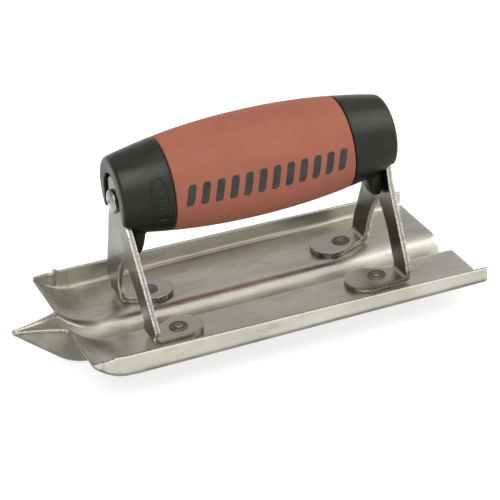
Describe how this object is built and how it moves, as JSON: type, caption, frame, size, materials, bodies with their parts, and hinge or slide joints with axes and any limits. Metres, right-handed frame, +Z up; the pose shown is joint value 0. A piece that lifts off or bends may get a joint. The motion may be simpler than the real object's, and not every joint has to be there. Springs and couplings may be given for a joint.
{
  "type": "concrete hand groover",
  "caption": "Stamped steel hand groover with a V-shaped bit and pointed front, two forked strap posts and a barrel handle with a soft grip, for cutting joints in fresh concrete.",
  "frame": {"origin": "centre of the bounding box in plan, at the lowest line of the V-shaped bit", "axes": "+X along the tool towards its plain rear end, so the beak points to -X; +Z up from the bit towards the handle; +Y to the left when looking along +X; the object is symmetric about y = 0"},
  "size_m": [0.1714, 0.0762, 0.0826],
  "materials": {
    "plate_steel": "bright rolled stainless sheet with fine scuffs",
    "post_steel": "rolled stainless strap with bright sheared edges",
    "rivet_steel": "heat-tinted set rivet",
    "core_plastic": "satin moulded plastic",
    "grip_rubber": "soft matte overmould, fine grain",
    "screw_steel": "bright plated pan-head screw"
  },
  "bodies": {
    "root": {"groover_plate": "plate_steel", "front_post": "post_steel", "rear_post": "post_steel", "rivet_front_right": "rivet_steel", "rivet_front_left": "rivet_steel", "rivet_rear_right": "rivet_steel", "rivet_rear_left": "rivet_steel", "handle_core": "core_plastic", "grip_sleeve": "grip_rubber", "front_screw": "screw_steel", "rear_screw": "screw_steel"}
  },
  "joints": []
}
